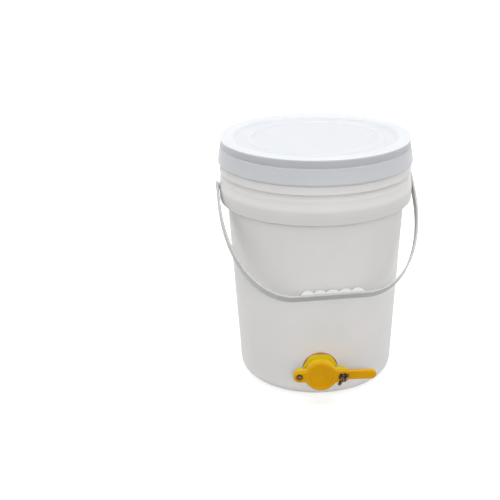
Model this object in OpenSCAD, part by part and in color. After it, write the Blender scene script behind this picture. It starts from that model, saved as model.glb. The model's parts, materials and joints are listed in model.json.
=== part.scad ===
/* [Bucket] */
// Height over the closed lid
overall_h = 260; // [220:1:340]
// Outside diameter of the wall, carried down to the ground
base_d = 164.4; // [140:0.2:190]
// Angle at which the wall leans outwards
wall_draft = 3; // [1:0.1:4.5]
// Thickness of the wall
wall_t = 2.2; // [1.6:0.1:3]
// Thickness of the floor
floor_t = 2.6; // [1.8:0.1:4]
// Radius of the rounded edge at the bottom
base_corner_r = 16; // [8:0.5:18]
// Height of the ring foot below the floor
foot_h = 3; // [1.5:0.1:5]
// Width of the ring foot
foot_w = 9; // [5:0.5:14]

/* [Collar and rim] */
// Height of the hollow collar below the neck
collar_h = 29; // [26:0.5:40]
// Height of the upright band at the collar's lower edge
collar_band_h = 13; // [10:0.5:17]
// Thickness of the collar
collar_t = 2; // [1.5:0.1:2.6]
// How far the collar's band stands out past the neck
collar_flare = 1.3; // [1:0.1:2.5]
// How far the collar's upper band leans in
collar_lean = 1; // [0.4:0.1:1]
// Width of the groove between collar and neck
groove_w = 1.8; // [1:0.1:3]
// Depth of that groove
groove_depth = 0.8; // [0.3:0.1:1.2]
// Height of the plain neck between collar and lid
neck_h = 9.9; // [6:0.1:15]
// How far the neck stands out past the lid's upper band
neck_step = 0.7; // [0.3:0.1:1.5]
// Thickness of the roof over the collar's hollow
roof_t = 3.9; // [2.5:0.1:5]
// Number of gussets inside the collar
gusset_count = 16; // [8:2:24]
// Thickness of a gusset
gusset_t = 1.4; // [1:0.1:2]
// How far the rim stands out past the wall
rim_out = 1.5; // [1:0.1:2.5]
// Height of the rim's snap bead
bead_h = 0.9; // [0.4:0.1:1.1]

/* [Lid] */
// Height of the lid's skirt, over all
lid_h = 25.5; // [22:0.5:32]
// Thickness of the lid
lid_t = 1.8; // [1.4:0.1:2.4]
// Height of the lid's upright upper band
lid_band_h = 10; // [8:0.5:12]
// How far the lid's lower edge flares out
lid_flare = 2.5; // [2:0.1:3.5]
// Height of the ridge between the two bands
ridge_h = 0.5; // [0.2:0.1:1]
// Width of the flat border round the lid's recess
border_w = 11.2; // [9:0.1:20]
// Depth of the lid's recess
recess_depth = 3; // [1.5:0.1:5]
// Middle diameter of the raised stacking ring
ring_d = 136; // [100:1:150]
// Width of the stacking ring
ring_w = 6; // [3:0.5:10]
// Height of the stacking ring
ring_h = 0.8; // [0.4:0.1:1.4]
// Depth of the rib that plugs into the rim
plug_h = 8; // [5:0.5:12]
// Thickness of the seal in the lid's channel
lid_seal_t = 1.6; // [1:0.1:2.4]

/* [Bail] */
// Turn of the bail's pivots away from square to the outlet
ear_turn = 6.7; // [0:0.1:15]
// Drop of the pivots below the top of the collar
ear_drop = 14; // [12:0.5:22]
// Width of the band
bail_w = 11; // [8:0.5:16]
// Thickness of the band
bail_t = 2.4; // [1.6:0.1:3]
// Straight length of each arm beyond its pivot
arm_l = 17; // [14:0.5:26]
// Half length of the straight run across the grip
run_half = 35; // [26:0.5:40]
// Squareness of the rounded corners, where 2 is an ellipse
corner_power = 2.1; // [2.1:0.05:3]
// Room left over the lid's edge as the grip swings past
bail_over = 15.9; // [8:0.1:20]
// Number of finger bumps on the grip
bump_count = 5; // [3:2:5]
// Spacing of the finger bumps
bump_pitch = 12.5; // [10:0.1:14]
// Radius of a finger bump
bump_r = 8; // [7.2:0.1:10]
// Height of the finger bumps over the band
bump_h = 4.6; // [4:0.1:6.5]
// Diameter of the snap stud at each pivot
stud_d = 6; // [4:0.1:8]
// Diameter of the stud's snap head
stud_head_d = 8.4; // [7:0.1:11]
// Thickness of the stud's snap head
stud_head_t = 2; // [1.5:0.1:2.5]

/* [Gate] */
// Height of the outlet's centre over the ground
gate_z = 35.6; // [32:0.1:60]
// Diameter of the flat pad on the wall
pad_d = 37; // [37:0.5:44]
// How far the pad stands out of the wall
pad_rise = 0.6; // [0.3:0.1:2]
// Diameter of the outlet's bore
bore_d = 20; // [14:0.1:20.5]
// Diameter of the spigot through the wall
spigot_d = 24; // [23:0.1:26]
// Thickness of each seal beside the wall
seal_t = 2; // [1:0.1:3]
// Diameter of each seal beside the wall
seal_d = 36.8; // [33:0.1:37]
// Width across the rounded corners of the gate's flange
flange_d = 37; // [35:0.1:37.6]
// Width across the flats of the gate's flange
flange_flats = 34.4; // [32.6:0.1:34.8]
// Thickness of the flange
flange_t = 4.2; // [3:0.1:4.4]
// Diameter of the gate's barrel
barrel_d = 31.6; // [28:0.1:32.4]
// Length of the barrel in front of the flange
barrel_l = 8.3; // [8.2:0.1:14]
// Distance from the pivot screw to the clamp bolt
bolt_span = 44; // [43:0.1:54]
// Radius of the ear and lug round the pivot screw
lug_r = 6; // [5.2:0.1:7]
// Radius of the ear and hooked lug round the clamp bolt
hook_r = 7; // [6.2:0.1:8]
// Thickness of the ears on the barrel
ear_t = 4.8; // [3.5:0.1:4.9]
// Thickness of the swinging plate
plate_t = 4; // [3.2:0.1:6]
// Diameter of the plate's disc
plate_d = 32; // [29:0.1:33]
// Diameter of the sunk centre of the disc
plate_sink_d = 24; // [14:0.1:26]
// Depth of the sunk centre
plate_sink = 1.4; // [0.6:0.1:2]
// Reach of the handle from the outlet's centre
handle_reach = 56; // [48:0.5:80]
// Width of the handle
handle_w = 10.4; // [8:0.1:11]
// Height of the handle's middle line over the outlet's centre
handle_rise = 1.5; // [0:0.1:2.5]

/* [Hardware] */
// Diameter of the pivot screw
screw_d = 4; // [3:0.1:5]
// Diameter of the pivot screw's head
screw_head_d = 6; // [5.6:0.1:7.6]
// Height of the pivot screw's head
screw_head_h = 2.4; // [1.8:0.1:3]
// Depth of the pocket that the head sits in
head_pocket = 1.6; // [0.8:0.1:2]
// Width across the flats of the pivot nut
pivot_nut_flats = 7; // [6.5:0.1:7.5]
// Thickness of the pivot nut
pivot_nut_t = 2.2; // [1.8:0.1:2.4]
// Diameter of the clamp bolt
bolt_d = 4; // [3.4:0.1:5]
// Width across the flats of the clamp bolt's head
bolt_head_flats = 7; // [6.6:0.1:8.4]
// Thickness of the clamp bolt's head
bolt_head_t = 2.8; // [2.4:0.1:3.4]
// Diameter of the washer under the wing nut
washer_d = 9; // [8:0.1:11]
// Diameter of the washer under the pivot nut
pivot_washer_d = 9; // [8:0.1:10]
// Thickness of the washers
washer_t = 1; // [0.6:0.1:1.4]
// Span of the wing nut
wing_span = 16; // [15:0.1:26]
// Height of the wing nut's hub
wing_hub_h = 4.5; // [3.5:0.1:7]
// Diameter of the wing nut's hub
wing_hub_d = 7.6; // [7.4:0.1:10]
// Thickness of a wing
wing_t = 1.6; // [1:0.1:2.4]
// Radius of a wing's rounded end
wing_r = 3; // [2.4:0.1:3.6]
// Turn of the wings from level
wing_turn = 49; // [0:1:90]
// Travel of the wing nut when it is loosened, with half of it still on the bolt
wing_travel = 2.1; // [1.4:0.1:2.8]
// Length of the spigot past the lock nut
spigot_tail = 2; // [1:0.1:4]
// Thickness of the lock nut inside the bucket
lock_nut_t = 7; // [5:0.1:10]
// Width across the flats of the lock nut
lock_nut_flats = 33; // [30:0.1:34]

/* [Fits] */
// Radial room of a pin or stud that turns in its hole
run_clear = 0.05; // [0.02:0.01:0.1]
// Room of a piece that passes freely beside another
free_clear = 0.3; // [0.2:0.05:0.4]
// Gap between flat faces that slide on each other
face_gap = 0.1; // [0.05:0.01:0.2]
// Room between the lid and the rim inside it
lid_clear = 0.4; // [0.3:0.05:0.6]
// Gap between the lid's lower edge and the neck
lid_gap = 0.6; // [0.3:0.1:1.2]
// Gap between the bail's arms and the widest part beside them
arm_gap = 0.6; // [0.4:0.1:1.5]
// Gap between the resting grip and the wall
rest_gap = 0.5; // [0.3:0.1:2]

/* [Hidden] */
$fn = 96;
edge_r = 0.8;
arc_steps = 8;
corner_steps = 20;
overcut = 1;

// Wall of the bucket: its radius at a height, and its thickness measured level
lean = tan(wall_draft);
wall_level_t = wall_t / cos(wall_draft);
function wall_r(z) = base_d / 2 + z * lean;

// Heights, from the lid downwards
lid_edge_z = overall_h - lid_h;
shoulder_z = lid_edge_z - lid_gap;
roof_z = shoulder_z - roof_t;
collar_top_z = shoulder_z - neck_h;
collar_z = collar_top_z - collar_h;
band_top_z = collar_z + collar_band_h;
ear_z = collar_top_z - ear_drop;
rim_top_z = overall_h - lid_t - lid_seal_t;
ridge_z = overall_h - lid_band_h;
lid_bead_z = lid_edge_z + lid_h / 4;
rim_bead_z = (ridge_z + lid_bead_z) / 2;
floor_z = foot_h + floor_t;

// Radii, from the wall outwards
rim_r = wall_r(shoulder_z) + rim_out;
rim_in_r = rim_r - wall_t;
lid_in_r = rim_r + lid_clear;
lid_r = lid_in_r + lid_t;
lid_edge_r = lid_r + lid_flare;
neck_r = lid_r + neck_step;
collar_r = neck_r + collar_flare;
collar_in_r = collar_r - collar_t;
hollow_lean = (collar_in_r - neck_r + collar_t) / (collar_top_z - band_top_z);
function hollow_r(z) = collar_in_r - hollow_lean * max(0, z - band_top_z);
recess_r = lid_r - border_w;
plug_r = rim_in_r - lid_clear;

// Bail, with the arms' inner faces clear of all that they pass
arm_in = max(collar_r, lid_edge_r) + arm_gap;
arm_mid = arm_in + bail_t / 2;
lid_swing_r = norm([lid_r, overall_h - ear_z]);
bump_top = lid_swing_r + bail_over;
run_mid = bump_top + bump_h + bail_t / 2;
corner_w = arm_mid - run_half;
corner_h = run_mid - arm_l;
stud_head_s = sqrt(pow(hollow_r(ear_z + stud_head_d / 2), 2) - pow(stud_head_d / 2, 2)) - free_clear;
// The lean at which the grip's back edge comes to the wall
rest_a = bump_top + bail_w / 2 * lean;
rest_b = bump_top * lean - bail_w / 2;
rest_c = wall_r(ear_z) + rest_gap / cos(wall_draft);
bail_lean = asin(rest_c / norm([rest_a, rest_b])) - atan2(rest_b, rest_a);

// Gate, measured outwards from the pad's face
pad_face_r = wall_r(gate_z) + pad_rise / cos(wall_draft);
wall_in_r = wall_r(gate_z) - wall_level_t;
pad_in = pad_rise + wall_t + wall_in_r - sqrt(pow(wall_in_r, 2) - pow(pad_d / 2, 2)) + free_clear;
flange_z = seal_t;
barrel_z = flange_z + flange_t;
face_z = barrel_z + barrel_l;
ear_back_z = face_z - ear_t;
plate_z = face_z + face_gap;
plate_front_z = plate_z + plate_t;
washer_z = plate_front_z + face_gap;
wing_z = washer_z + washer_t;
lock_nut_z = -pad_in - seal_t - lock_nut_t;
spigot_end_z = lock_nut_z - spigot_tail;
bolt_end_z = wing_z + max(wing_hub_h + edge_r, wing_travel + wing_hub_h / 2);
head_seat_z = plate_front_z - head_pocket + face_gap;
pivot_nut_z = ear_back_z - washer_t - pivot_nut_t;
pivot_x = -bolt_span / 2;
clamp_x = bolt_span / 2;

function arc(c, r, from, to) =
    [for (i = [0 : arc_steps])
        let (a = from + (to - from) * i / arc_steps)
        c + r * [cos(a), sin(a)]];

function flats_r(flats) = flats / 2 / cos(30);

// Middle of the rounded edge between the ground or floor and a wall offset inwards
function edge_c(z, r, inset) = [base_d / 2 - inset + (z + r) * lean - r / cos(wall_draft), z + r];

module at_gate() {
    translate([0, -pad_face_r, gate_z])
        rotate([90 + wall_draft, 0, 0])
            children();
}

module at_ears() {
    for (side = [0, 180])
        translate([0, 0, ear_z])
            rotate([0, 0, ear_turn + side])
                rotate([0, 90, 0])
                    children();
}

module disc(d, from, to) {
    translate([0, 0, from])
        cylinder(d = d, h = to - from);
}

module hex(flats, from, to) {
    translate([0, 0, from])
        cylinder(r = flats_r(flats), h = to - from, $fn = 6);
}

module ring(outer_d, inner_d, from, to) {
    difference() {
        disc(outer_d, from, to);
        disc(inner_d, from - overcut, to + overcut);
    }
}

// Section of the bucket from its floor's middle over the rim and back under the foot
module bucket_section() {
    outer_edge = edge_c(0, base_corner_r, 0);
    inner_r = base_corner_r - wall_t;
    inner_edge = edge_c(floor_z, inner_r, wall_level_t);
    polygon(concat(
        [[0, floor_z]],
        arc(inner_edge, inner_r, -90, -wall_draft),
        [[wall_r(roof_z) - wall_level_t, roof_z], [rim_in_r, shoulder_z]],
        [[rim_in_r, rim_top_z - edge_r], [rim_in_r + edge_r / 2, rim_top_z]],
        [[rim_r - edge_r, rim_top_z], [rim_r, rim_top_z - edge_r]],
        [[rim_r, rim_bead_z + bead_h], [rim_r + bead_h, rim_bead_z], [rim_r, rim_bead_z - bead_h]],
        [[rim_r, shoulder_z], [neck_r - edge_r / 2, shoulder_z], [neck_r, shoulder_z - edge_r / 2]],
        [[neck_r, collar_top_z + groove_w / 2], [neck_r - groove_depth, collar_top_z]],
        [[collar_r - collar_lean, collar_top_z - groove_w / 2]],
        [[collar_r, band_top_z + edge_r], [collar_r, collar_z + edge_r]],
        [[collar_r - edge_r, collar_z], [collar_in_r, collar_z], [collar_in_r, band_top_z]],
        [[neck_r - collar_t, collar_top_z], [neck_r - collar_t, roof_z], [wall_r(roof_z), roof_z]],
        arc(outer_edge, base_corner_r, -wall_draft, -90),
        [[outer_edge[0] - foot_w, 0], [outer_edge[0] - foot_w - foot_h / 2, foot_h], [0, foot_h]]
    ));
}

module gussets() {
    gusset_z = ear_z + stud_head_d / 2;
    gusset_in = (wall_r(gusset_z) + wall_r(roof_z) - wall_level_t) / 2;
    gusset_out = (hollow_r(gusset_z) + neck_r - groove_depth) / 2;
    for (i = [0 : gusset_count - 1])
        rotate([0, 0, ear_turn + 360 / gusset_count * (i + 0.5)])
            translate([gusset_in, -gusset_t / 2, gusset_z])
                cube([gusset_out - gusset_in, gusset_t, roof_z - gusset_z + roof_t / 2]);
}

module bucket() {
    color("whitesmoke")
        difference() {
            union() {
                rotate_extrude()
                    bucket_section();
                gussets();
                at_gate()
                    disc(pad_d, -pad_in, 0);
            }
            at_gate()
                disc(spigot_d + 2 * free_clear, -pad_in - overcut, overcut);
            at_ears()
                disc(stud_d + 2 * run_clear, collar_in_r - overcut, collar_r + overcut);
        }
}

// Section of the lid from its middle out over the border, down the skirt and back inside it
module lid_section() {
    panel_z = overall_h - recess_depth;
    flare_z = lid_edge_z + lid_t;
    bead_in_r = rim_r + bead_h + free_clear;
    inner_flare_r = lid_edge_r - lid_t;
    polygon(concat(
        [[0, panel_z]],
        [[ring_d / 2 - ring_w / 2, panel_z], [ring_d / 2 - ring_w / 2 + ring_h, panel_z + ring_h]],
        [[ring_d / 2 + ring_w / 2 - ring_h, panel_z + ring_h], [ring_d / 2 + ring_w / 2, panel_z]],
        [[recess_r - recess_depth / 3, panel_z], [recess_r, overall_h]],
        [[lid_r - edge_r, overall_h], [lid_r, overall_h - edge_r]],
        [[lid_r, ridge_z + ridge_h], [lid_r + ridge_h, ridge_z], [lid_r + ridge_h / 2, ridge_z - ridge_h]],
        [[lid_edge_r, flare_z], [lid_edge_r - edge_r / 2, lid_edge_z], [inner_flare_r, lid_edge_z]],
        [[inner_flare_r, flare_z], [bead_in_r, lid_bead_z], [inner_flare_r - edge_r, lid_bead_z + edge_r]],
        [[lid_in_r, ridge_z], [lid_in_r, overall_h - lid_t]],
        [[plug_r, overall_h - lid_t], [plug_r, overall_h - lid_t - plug_h]],
        [[plug_r - lid_t, overall_h - lid_t - plug_h], [plug_r - lid_t, overall_h - lid_t]],
        [[recess_r + lid_t, overall_h - lid_t], [recess_r + lid_t, panel_z - lid_t], [0, panel_z - lid_t]]
    ));
}

module lid() {
    color("gainsboro")
        rotate_extrude()
            lid_section();
}

module lid_seal() {
    color("lightgray")
        ring(2 * (lid_in_r - free_clear), 2 * (plug_r + free_clear), rim_top_z, overall_h - lid_t);
}

// A point of the bail's corner, measured along the pivots and away from them, moved off the middle line
function corner_point(q, off) =
    let (u = pow(cos(q), 2 / corner_power))
    let (v = pow(sin(q), 2 / corner_power))
    let (n = [pow(u, corner_power - 1) / corner_w, pow(v, corner_power - 1) / corner_h])
    [run_half + corner_w * u, -arm_l - corner_h * v] + off / norm(n) * [n[0], -n[1]];

// One side of the band from its pivot to the middle of the run
function half_band(off) = concat(
    [[arm_mid + off, 0]],
    [for (i = [0 : corner_steps]) corner_point(90 * i / corner_steps, off)]);

function mirrored(points) = [for (i = [len(points) - 1 : -1 : 0]) [-points[i][0], points[i][1]]];

function turned(points) = [for (i = [len(points) - 1 : -1 : 0]) points[i]];

module band_outline() {
    outer = half_band(bail_t / 2);
    inner = half_band(-bail_t / 2);
    polygon(concat(outer, mirrored(outer), turned(mirrored(inner)), turned(inner)));
}

module grip_outline() {
    bump_y = -bump_top - bump_r;
    intersection() {
        for (i = [0 : bump_count - 1])
            translate([(i - (bump_count - 1) / 2) * bump_pitch, bump_y])
                circle(r = bump_r);
        translate([-2 * run_half, -run_mid])
            square([4 * run_half, run_mid]);
    }
}

module bail_stud() {
    disc(bail_w, collar_r + arm_gap, arm_in + bail_t);
    disc(stud_d, stud_head_s - stud_head_t / 2, arm_in + bail_t / 2);
    translate([0, 0, stud_head_s - stud_head_t])
        cylinder(d1 = stud_d - stud_head_t / 2, d2 = stud_head_d, h = stud_head_t);
}

module bail() {
    color("white") {
        translate([0, 0, ear_z])
            rotate([0, 0, ear_turn])
                rotate([90 - bail_lean, 0, 0])
                    linear_extrude(bail_w, center = true)
                        union() {
                            band_outline();
                            grip_outline();
                        }
        at_ears()
            bail_stud();
    }
}

module bolt_line() {
    square([bolt_span, 2 * lug_r], center = true);
    translate([pivot_x, 0])
        circle(r = lug_r);
    translate([clamp_x, 0])
        circle(r = hook_r);
}

module gate_body() {
    color("gold")
        at_gate()
            difference() {
                union() {
                    intersection() {
                        hex(flange_flats, flange_z, barrel_z);
                        disc(flange_d, flange_z, barrel_z);
                    }
                    disc(spigot_d, spigot_end_z, barrel_z);
                    disc(barrel_d, flange_z, face_z);
                    translate([0, 0, ear_back_z])
                        linear_extrude(ear_t)
                            bolt_line();
                }
                disc(bore_d, spigot_end_z - overcut, face_z + overcut);
                translate([pivot_x, 0, 0])
                    disc(screw_d + 2 * run_clear, ear_back_z - overcut, face_z + overcut);
                translate([clamp_x, 0, 0])
                    disc(bolt_d + 2 * run_clear, ear_back_z - overcut, face_z + overcut);
            }
}

// The plate's slot runs down from the clamp bolt along a circle about the pivot
module hook_slot() {
    slot_r = bolt_d / 2 + free_clear;
    translate([clamp_x, 0])
        circle(r = slot_r);
    translate([pivot_x, 0])
        intersection() {
            difference() {
                circle(r = bolt_span + slot_r);
                circle(r = bolt_span - slot_r);
            }
            translate([0, -bolt_span])
                square([2 * bolt_span, bolt_span]);
        }
}

module plate_outline() {
    difference() {
        union() {
            circle(d = plate_d);
            bolt_line();
            translate([0, handle_rise - handle_w / 2])
                square([handle_reach - handle_w / 2, handle_w]);
            translate([handle_reach - handle_w / 2, handle_rise])
                circle(d = handle_w);
        }
        hook_slot();
    }
}

module gate_plate() {
    color("goldenrod")
        at_gate()
            difference() {
                translate([0, 0, plate_z])
                    linear_extrude(plate_t)
                        plate_outline();
                disc(plate_sink_d, plate_front_z - plate_sink, plate_front_z + overcut);
                translate([pivot_x, 0, 0])
                    disc(screw_d + 2 * run_clear, plate_z - overcut, plate_front_z + overcut);
                translate([pivot_x, 0, 0])
                    disc(screw_head_d + 4 * free_clear, plate_front_z - head_pocket, plate_front_z + overcut);
            }
}

module flange_seal() {
    color("saddlebrown")
        at_gate()
            ring(seal_d, spigot_d + 2 * run_clear, 0, flange_z);
}

module inner_seal() {
    color("saddlebrown")
        at_gate()
            ring(seal_d, spigot_d + 2 * run_clear, -pad_in - seal_t, -pad_in);
}

module lock_nut() {
    color("gold")
        at_gate()
            difference() {
                hex(lock_nut_flats, lock_nut_z, lock_nut_z + lock_nut_t);
                disc(spigot_d + 2 * run_clear, lock_nut_z - overcut, lock_nut_z + lock_nut_t + overcut);
            }
}

// Section of a screw that stands on its tip, with a domed head
module domed_screw_section() {
    tip_z = pivot_nut_z - edge_r;
    head_r = screw_head_d / 2;
    dome_z = head_seat_z + screw_head_h / 3;
    dome_h = head_seat_z + screw_head_h - dome_z;
    dome_r = (head_r * head_r + dome_h * dome_h) / 2 / dome_h;
    dome_c = [0, dome_z + dome_h - dome_r];
    polygon(concat(
        [[0, tip_z], [screw_d / 2 - edge_r / 2, tip_z], [screw_d / 2, tip_z + edge_r / 2]],
        [[screw_d / 2, head_seat_z], [head_r, head_seat_z]],
        arc(dome_c, dome_r, acos(head_r / dome_r), 90)
    ));
}

module pivot_screw() {
    slot_w = screw_d / 4;
    slot_z = head_seat_z + screw_head_h * 0.6;
    color("silver")
        at_gate()
            translate([pivot_x, 0, 0])
                difference() {
                    rotate_extrude()
                        domed_screw_section();
                    translate([-screw_head_d, -slot_w / 2, slot_z])
                        cube([2 * screw_head_d, slot_w, screw_head_h]);
                }
}

module pivot_washer() {
    color("silver")
        at_gate()
            translate([pivot_x, 0, 0])
                ring(pivot_washer_d, screw_d + 2 * run_clear, ear_back_z - washer_t, ear_back_z);
}

module pivot_nut() {
    color("silver")
        at_gate()
            translate([pivot_x, 0, 0])
                difference() {
                    rotate([0, 0, 30])
                        hex(pivot_nut_flats, pivot_nut_z, pivot_nut_z + pivot_nut_t);
                    disc(screw_d + 2 * run_clear, pivot_nut_z - overcut, ear_back_z);
                }
}

module clamp_bolt() {
    color("dimgray")
        at_gate()
            translate([clamp_x, 0, 0]) {
                rotate([0, 0, 30])
                    hex(bolt_head_flats, ear_back_z - bolt_head_t, ear_back_z);
                disc(bolt_d, ear_back_z - bolt_head_t / 2, bolt_end_z - edge_r);
                translate([0, 0, bolt_end_z - edge_r])
                    cylinder(d1 = bolt_d, d2 = bolt_d - 2 * edge_r, h = edge_r);
            }
}

module clamp_washer() {
    color("silver")
        at_gate()
            translate([clamp_x, 0, 0])
                ring(washer_d, bolt_d + 2 * run_clear, washer_z, wing_z);
}

// Side view of one wing, measured out from the bolt and along it
module wing_outline() {
    tip_x = wing_span / 2 - wing_r;
    tip_y = wing_hub_h;
    translate([tip_x, tip_y])
        circle(r = wing_r);
    polygon([[0, edge_r], [wing_hub_d / 2, edge_r], [tip_x + wing_r * cos(-30), tip_y + wing_r * sin(-30)],
             [tip_x + wing_r * cos(120), tip_y + wing_r * sin(120)], [0, wing_hub_h - edge_r]]);
}

module wing_nut() {
    color("silver")
        at_gate()
            translate([clamp_x, 0, wing_z])
                rotate([0, 0, wing_turn])
                    difference() {
                        union() {
                            cylinder(d1 = wing_hub_d, d2 = wing_hub_d - 2 * edge_r, h = wing_hub_h);
                            for (side = [0, 180])
                                rotate([90, 0, side])
                                    linear_extrude(wing_t, center = true)
                                        wing_outline();
                        }
                        disc(bolt_d + 2 * run_clear, -overcut, 2 * wing_span);
                    }
}

bucket();
lid();
lid_seal();
bail();
gate_body();
gate_plate();
flange_seal();
inner_seal();
lock_nut();
pivot_screw();
pivot_washer();
pivot_nut();
clamp_bolt();
clamp_washer();
wing_nut();
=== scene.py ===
import bpy
import bmesh
import json
import math
from mathutils import Matrix, Vector


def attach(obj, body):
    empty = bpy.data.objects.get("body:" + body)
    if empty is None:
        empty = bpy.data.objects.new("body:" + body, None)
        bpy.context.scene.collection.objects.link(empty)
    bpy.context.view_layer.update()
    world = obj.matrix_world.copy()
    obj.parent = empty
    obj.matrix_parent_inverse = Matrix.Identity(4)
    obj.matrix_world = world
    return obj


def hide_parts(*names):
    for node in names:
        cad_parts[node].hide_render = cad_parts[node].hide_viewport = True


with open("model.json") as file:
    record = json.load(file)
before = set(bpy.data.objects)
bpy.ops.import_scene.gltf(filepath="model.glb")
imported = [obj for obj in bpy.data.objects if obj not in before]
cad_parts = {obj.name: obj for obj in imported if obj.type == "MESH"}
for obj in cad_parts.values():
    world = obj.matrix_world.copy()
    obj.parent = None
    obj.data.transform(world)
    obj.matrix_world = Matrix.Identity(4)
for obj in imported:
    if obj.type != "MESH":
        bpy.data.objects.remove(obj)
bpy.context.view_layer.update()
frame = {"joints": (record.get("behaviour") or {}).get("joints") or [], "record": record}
scene = bpy.context.scene
mm = 0.001


# nodes and colours
def tone(red, green, blue):  # sRGB levels to linear light
    def linear(level):
        share = level / 255
        return share / 12.92 if share <= 0.04045 else ((share + 0.055) / 1.055) ** 2.4
    return (linear(red), linear(green), linear(blue), 1)


def grey(level):
    return (level, level, level, 1)


def feed(tree, node, values):  # each value is a setting or another node's output
    for key, value in values.items():
        if hasattr(value, "is_linked"):
            tree.links.new(value, node.inputs[key])
        else:
            node.inputs[key].default_value = value


def addNode(tree, kind, settings=None, values=None):
    node = tree.nodes.new(kind)
    for key, value in (settings or {}).items():
        setattr(node, key, value)
    feed(tree, node, values or {})
    return node


def mathNode(tree, operation, first, second=0.0):
    return addNode(tree, "ShaderNodeMath", {"operation": operation}, {0: first, 1: second}).outputs[0]


def ramp(tree, value, lows, highs):  # each end is a value and the result there
    return addNode(tree, "ShaderNodeMapRange", values={
        "Value": value, "From Min": lows[0], "From Max": highs[0], "To Min": lows[1], "To Max": highs[1],
    }).outputs["Result"]


def mixColours(tree, share, first, second, how="MIX"):
    return addNode(tree, "ShaderNodeMix", {"data_type": "RGBA", "blend_type": how}, {
        "Factor": share, "A": first, "B": second}).outputs["Result"]


def noise(tree, vector, scale, detail, roughness):
    return addNode(tree, "ShaderNodeTexNoise", values={
        "Vector": vector, "Scale": scale, "Detail": detail, "Roughness": roughness}).outputs["Fac"]


def heightOf(tree, place):
    return addNode(tree, "ShaderNodeSeparateXYZ", values={0: place}).outputs["Z"]


def startTree(kind, name, inputs, outputs):
    tree = bpy.data.node_groups.new(name, kind)
    for way, sockets in (("INPUT", inputs), ("OUTPUT", outputs)):
        for label, value in sockets.items():
            tree.interface.new_socket(name=label, in_out=way, socket_type="NodeSocket" + value)
    return tree, addNode(tree, "NodeGroupInput").outputs, addNode(tree, "NodeGroupOutput")


# camera, floor and light
cameraView = {
    "turn": -3.3,  # degrees round the bucket from square to the gate
    "drop": 21.2,  # degrees that it looks down
    "high": 489.3, "away": 919.7,  # mm
    "focalPx": 916.8, "axisPx": 315.5, "framePx": 500,
}
studio = {
    "horizonLevel": 1.0, "zenithLevel": 0.5,
    "bandLow": 0.35, "bandHigh": 0.65,  # where the sky dims, by the sine of its height
    "topLevel": 2.4, "topHigh": 86, "topTurn": 180, "topSoft": 40,
    "frontLevel": 0.6, "frontHigh": 25, "frontTurn": 4, "frontSoft": 6,
    "floorBounce": 0.12, "floorTable": 0.25,  # what lights the part
    "floorPaint": 0.72, "floorGlow": 0.55,  # what is seen
    "floorHalf": 9.0, "floorLow": -0.0002,  # metres
}


def placeCamera(view):
    data = bpy.data.cameras.new("photoCamera")
    camera = bpy.data.objects.new("photoCamera", data)
    scene.collection.objects.link(camera)
    turn = math.radians(view["turn"])
    place = (math.sin(turn) * view["away"], -math.cos(turn) * view["away"], view["high"])
    camera.location = Vector(place) * mm
    camera.rotation_euler = (math.radians(90 - view["drop"]), 0, turn)
    data.lens = data.sensor_width * view["focalPx"] / view["framePx"]
    data.shift_x = (view["framePx"] / 2 - view["axisPx"]) / view["framePx"]
    scene.camera = camera


def placeSun(name, level, high, turn, soft):
    data = bpy.data.lights.new(name, "SUN")
    data.energy = level
    data.angle = math.radians(soft)
    lamp = bpy.data.objects.new(name, data)
    lamp.rotation_euler = (math.radians(90 - high), 0, math.radians(turn))
    scene.collection.objects.link(lamp)


def seenDirectly(tree):  # by the camera, or in a mirror or through glass
    path = addNode(tree, "ShaderNodeLightPath").outputs
    seen = mathNode(tree, "MAXIMUM", path["Is Camera Ray"], path["Is Glossy Ray"])
    return mathNode(tree, "MAXIMUM", seen, path["Is Transmission Ray"])


def paintSky(look):
    world = bpy.data.worlds.new("whiteStudio")
    world.use_nodes = True
    scene.world = world
    tree = world.node_tree
    high = heightOf(tree, addNode(tree, "ShaderNodeTexCoord").outputs["Generated"])
    low, top = (look["bandLow"], look["horizonLevel"]), (look["bandHigh"], look["zenithLevel"])
    level = ramp(tree, high, low, top)
    feed(tree, tree.nodes["Background"], {"Color": mixColours(tree, seenDirectly(tree), level, grey(1))})


def glowPaint(tree, paint, glow):  # a matt surface that also gives off light
    matt = addNode(tree, "ShaderNodeBsdfDiffuse", values={"Color": grey(paint)})
    light = addNode(tree, "ShaderNodeEmission", values={"Strength": glow})
    both = addNode(tree, "ShaderNodeAddShader", values={0: matt.outputs[0], 1: light.outputs[0]})
    return both.outputs[0]


def layFloor(look):
    half, low = look["floorHalf"], look["floorLow"]
    mesh = bpy.data.meshes.new("floor")
    corners = [(-half, -half, low), (half, -half, low), (half, half, low), (-half, half, low)]
    mesh.from_pydata(corners, [], [(0, 1, 2, 3)])
    floor = bpy.data.objects.new("floor", mesh)
    scene.collection.objects.link(floor)
    paint = bpy.data.materials.new("floorPaint")
    paint.use_nodes = True
    tree = paint.node_tree
    tree.nodes.clear()
    mix = addNode(tree, "ShaderNodeMixShader", values={
        0: seenDirectly(tree), 1: glowPaint(tree, look["floorBounce"], look["floorTable"]),
        2: glowPaint(tree, look["floorPaint"], look["floorGlow"])})
    addNode(tree, "ShaderNodeOutputMaterial", values={"Surface": mix.outputs[0]})
    mesh.materials.append(paint)


placeCamera(cameraView)
paintSky(studio)
layFloor(studio)
for name, lamp in (("topSoftbox", "top"), ("frontLamp", "front")):
    placeSun(name, *(studio[lamp + key] for key in ("Level", "High", "Turn", "Soft")))
scene.view_settings.view_transform = "Standard"
print("camera, floor and light placed")


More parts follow.
